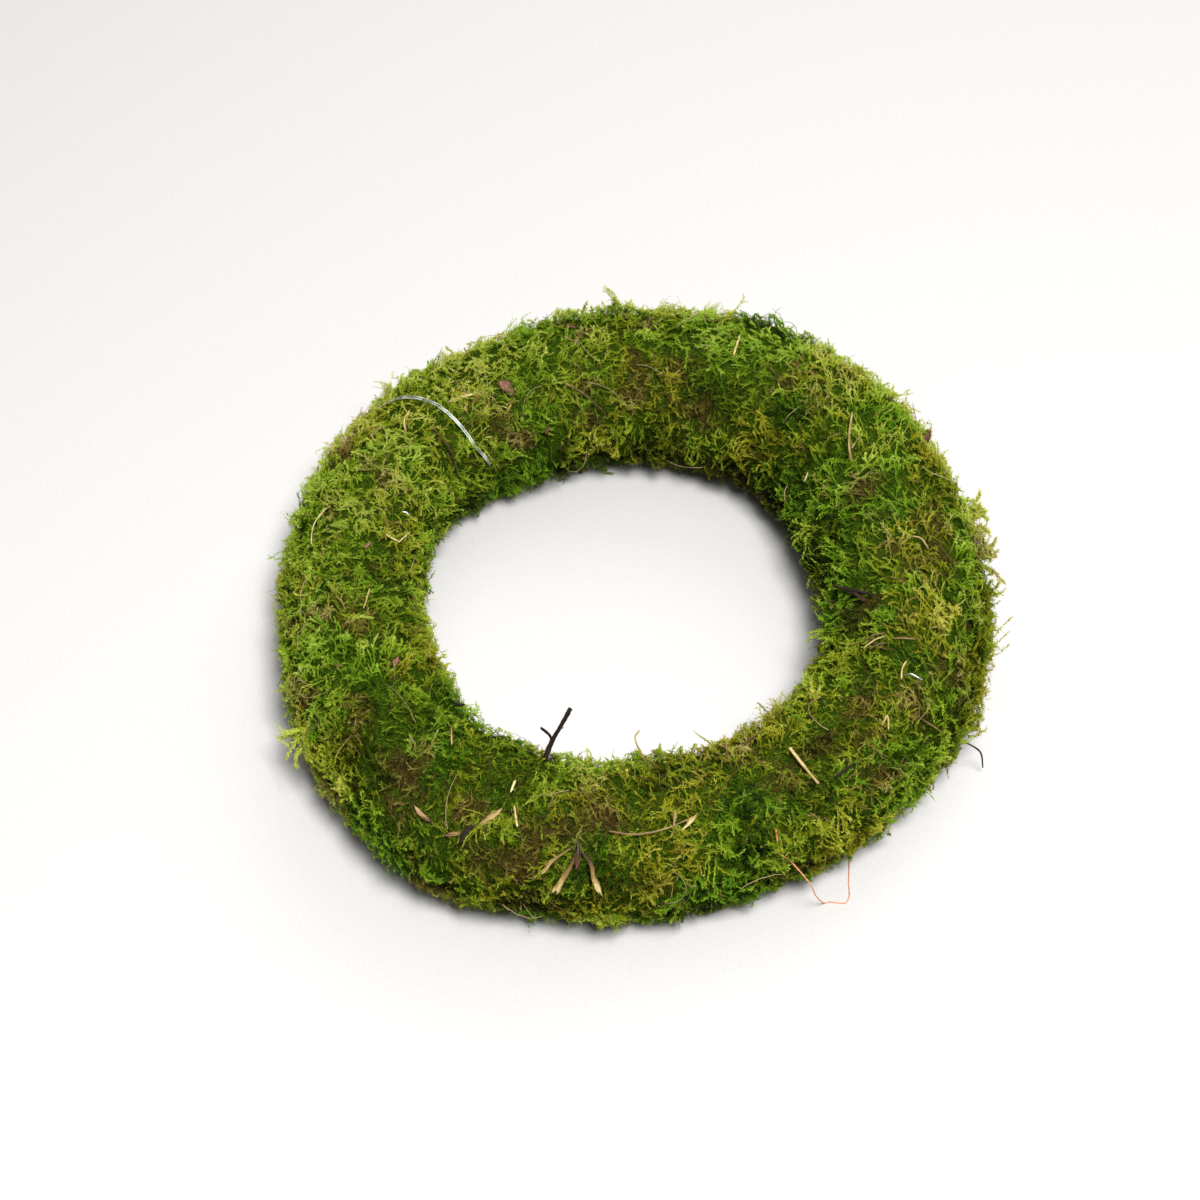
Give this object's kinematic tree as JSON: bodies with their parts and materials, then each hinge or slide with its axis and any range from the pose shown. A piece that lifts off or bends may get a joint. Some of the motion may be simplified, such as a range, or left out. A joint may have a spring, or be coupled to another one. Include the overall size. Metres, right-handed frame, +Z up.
{
  "type": "moss wreath",
  "caption": "Round wreath of green moss bound with nylon thread over a straw ring, lying flat, with dry grass and a forked twig caught in the moss.",
  "frame": {"origin": "middle of the wreath's outline, on the surface that it lies on", "axes": "+Z up through the hole, -Y towards the side that the picture is taken from, +X to the right as seen from there"},
  "size_m": [0.3029, 0.305, 0.0809],
  "materials": {
    "moss": "soft green shoots of moss, yellow-green at their tips and dark between them",
    "straw": "bundled dry straw, satin",
    "nylon": "clear, glossy nylon thread",
    "orange_fibre": "thin matt orange thread",
    "dry_grass": "dry, pale tan blades with fine veins",
    "bark": "rough dark brown bark and twig",
    "dead_leaf": "thin dry leaf, red-brown and veined"
  },
  "bodies": {
    "root": {"moss_pad_01": "moss", "moss_pad_02": "moss", "moss_pad_03": "moss", "moss_pad_04": "moss", "moss_pad_05": "moss", "moss_pad_06": "moss", "moss_pad_07": "moss", "moss_pad_08": "moss", "moss_pad_09": "moss", "moss_pad_10": "moss", "moss_pad_11": "moss", "moss_pad_12": "moss", "straw_ring": "straw", "binding_thread": "nylon", "orange_thread": "orange_fibre", "dry_grass_1": "dry_grass", "dry_grass_2": "dry_grass", "dry_grass_3": "dry_grass", "dry_grass_4": "dry_grass", "straw_bit_1": "dry_grass", "straw_bit_2": "dry_grass", "grass_stem_1": "dry_grass", "grass_stem_2": "dry_grass", "tendril": "dry_grass", "bark_chip_1": "bark", "bark_chip_2": "bark", "bark_chip_3": "bark", "bark_strip": "bark", "forked_twig": "bark", "inner_twig": "bark", "rootlet": "bark", "leaf_scrap_1": "dead_leaf", "leaf_scrap_2": "dead_leaf", "leaf_scrap_3": "dead_leaf"}
  },
  "joints": []
}
